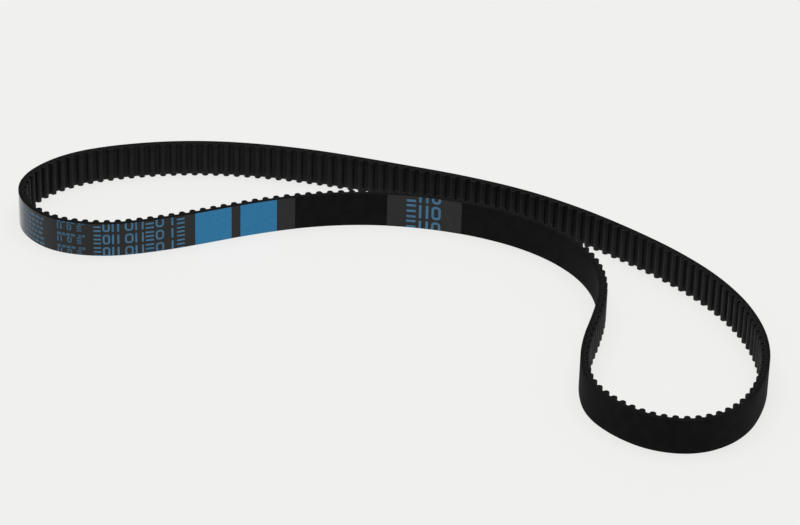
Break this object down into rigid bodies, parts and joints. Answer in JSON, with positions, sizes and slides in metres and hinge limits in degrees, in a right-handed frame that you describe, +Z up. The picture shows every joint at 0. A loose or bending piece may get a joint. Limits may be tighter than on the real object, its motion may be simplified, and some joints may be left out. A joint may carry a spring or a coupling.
{
  "type": "timing belt",
  "caption": "Endless rubber timing belt with rounded teeth inside, glass cords, nylon tooth facing and printed back, standing on edge as a relaxed open loop.",
  "frame": {"origin": "under the middle of the loop's outline, on the plane that the lower edge stands on", "axes": "+Z up along the belt's width, +X along the loop's long way from the left end to the teardrop end, +Y from the near run to the far run"},
  "size_m": [0.2011, 0.1348, 0.01],
  "materials": {
    "rubber_backing": "matt ground black rubber",
    "rubber_teeth": "matt black rubber, inside the facing",
    "nylon_facing": "fine black nylon weave, slightly sheened",
    "glass_cord": "twisted glass fibre cord, treated",
    "label_film": "thin dark grey transfer film, satin",
    "blue_block_ink": "flat blue transfer ink",
    "blue_mark_ink": "blue transfer ink, fine strokes"
  },
  "bodies": {
    "root": {"backing": "rubber_backing", "tooth_rubber": "rubber_teeth", "tooth_facing": "nylon_facing", "tensile_cord_s": "glass_cord", "tensile_cord_z": "glass_cord", "long_label_film": "label_film", "batch_label_film": "label_film", "ink_block_first": "blue_block_ink", "ink_block_second": "blue_block_ink", "maker_marks_row_1": "blue_mark_ink", "maker_marks_row_2": "blue_mark_ink", "maker_marks_row_3": "blue_mark_ink", "maker_marks_row_4": "blue_mark_ink", "maker_marks_row_5": "blue_mark_ink", "maker_marks_row_6": "blue_mark_ink", "origin_marks_lower_row": "blue_mark_ink", "origin_marks_middle_row": "blue_mark_ink", "origin_marks_upper_row": "blue_mark_ink", "size_marks_lower_row": "blue_mark_ink", "size_marks_middle_row": "blue_mark_ink", "size_marks_upper_row": "blue_mark_ink", "batch_marks_lower_row": "blue_mark_ink", "batch_marks_middle_row": "blue_mark_ink", "batch_marks_upper_row": "blue_mark_ink"}
  },
  "joints": []
}
